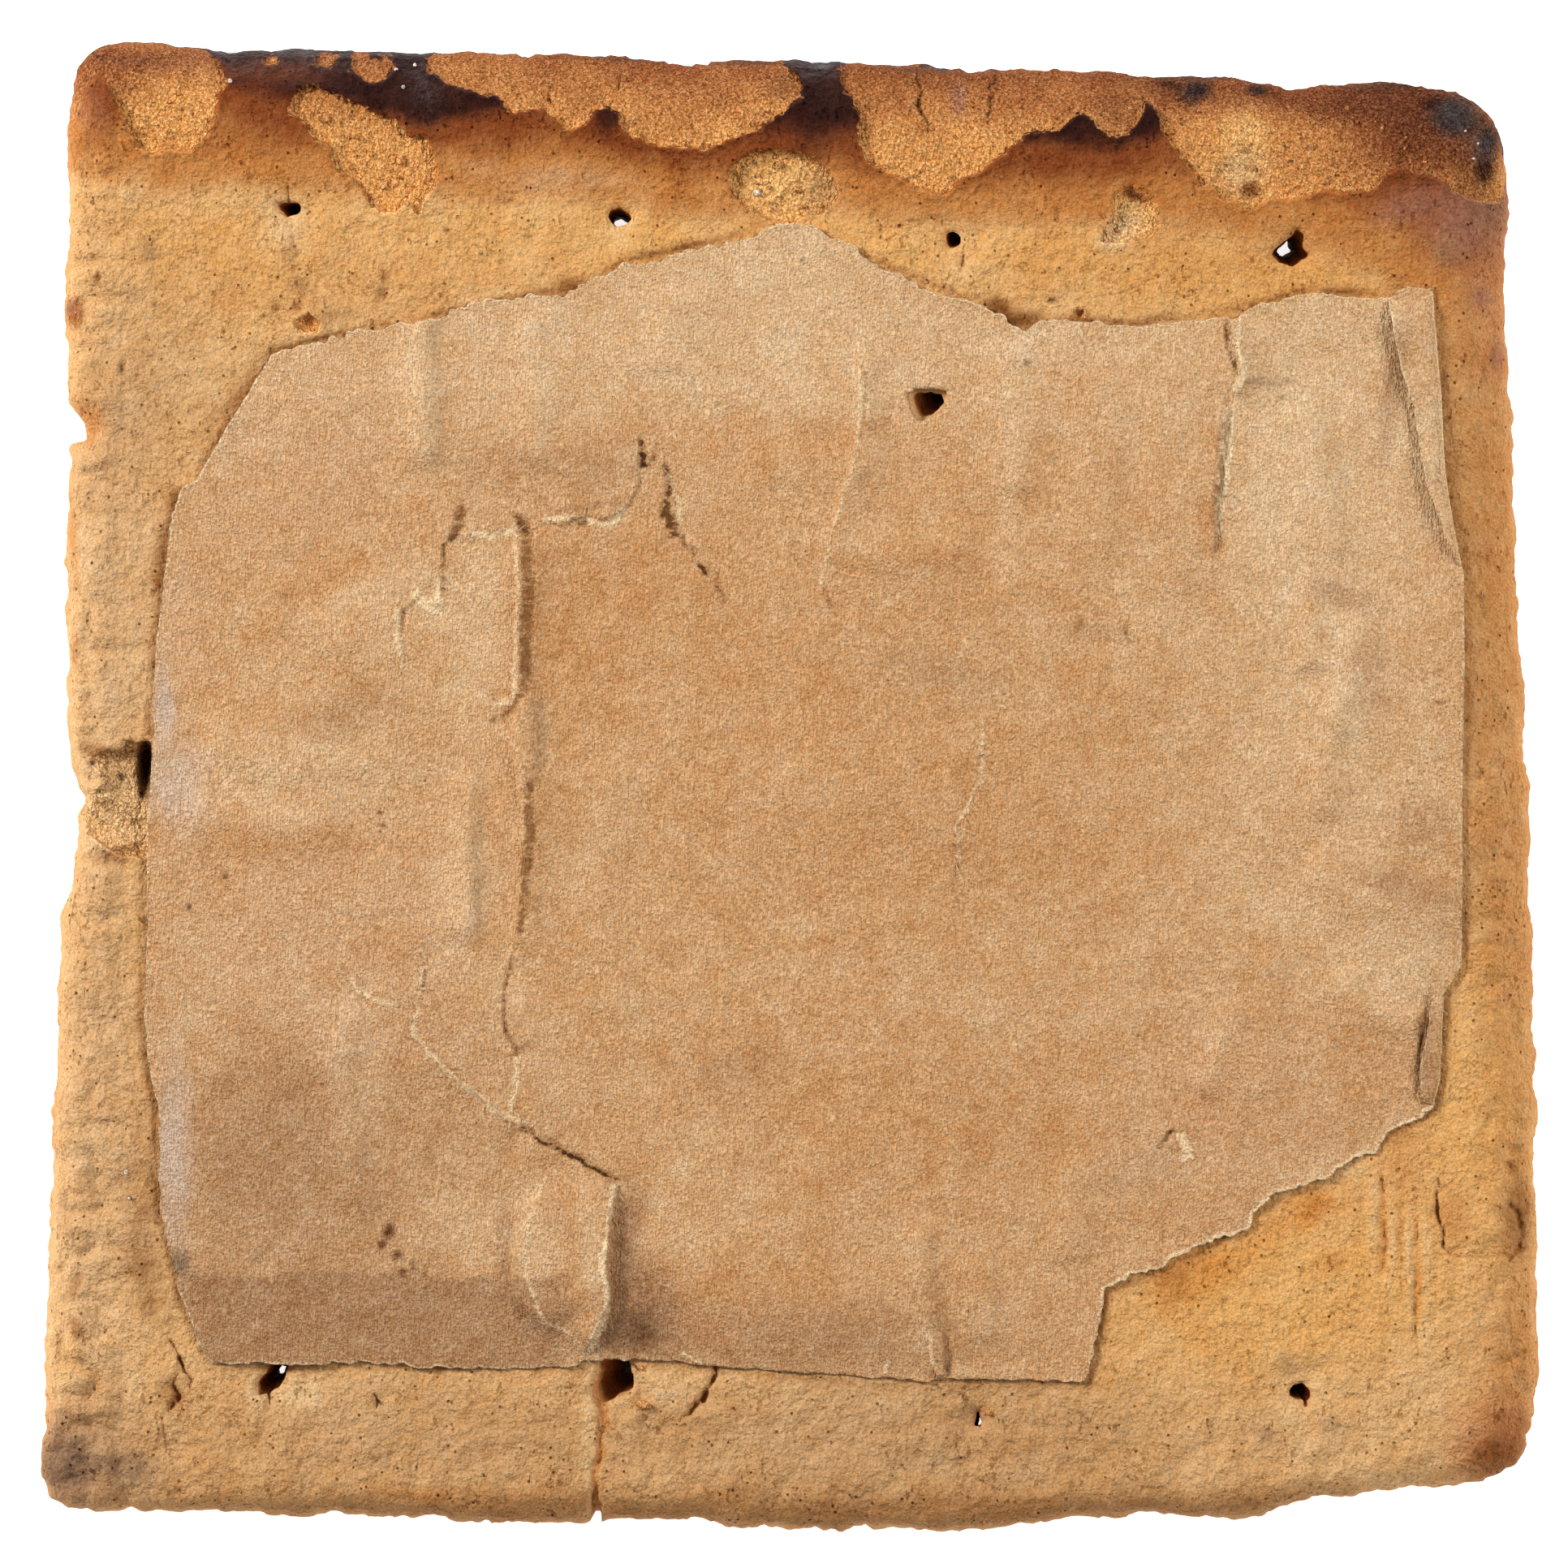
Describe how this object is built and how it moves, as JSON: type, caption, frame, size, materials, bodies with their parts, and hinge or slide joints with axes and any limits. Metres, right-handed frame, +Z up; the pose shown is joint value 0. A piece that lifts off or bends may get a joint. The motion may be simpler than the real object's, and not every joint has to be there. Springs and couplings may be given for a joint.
{
  "type": "hardtack biscuit",
  "caption": "Old square ship's biscuit, scorched and flaked along one edge, pierced with docking holes, with a torn kraft paper label stuck on its upper face.",
  "frame": {"origin": "middle of the bounding box's base: the biscuit's flat underside stands on z = 0", "axes": "+Z up through the thickness, out of the labelled face; +Y towards the scorched, flaked edge; +X to the right when that edge is at the top"},
  "size_m": [0.0958, 0.0954, 0.0111],
  "materials": {
    "crust": "dry baked biscuit, tan to amber, scorched brown to black along one edge, with grainy flaked patches",
    "label_paper": "aged kraft paper, fibrous and matte, stained, wrinkled and torn"
  },
  "bodies": {
    "root": {"biscuit": "crust", "paper_label": "label_paper"}
  },
  "joints": []
}
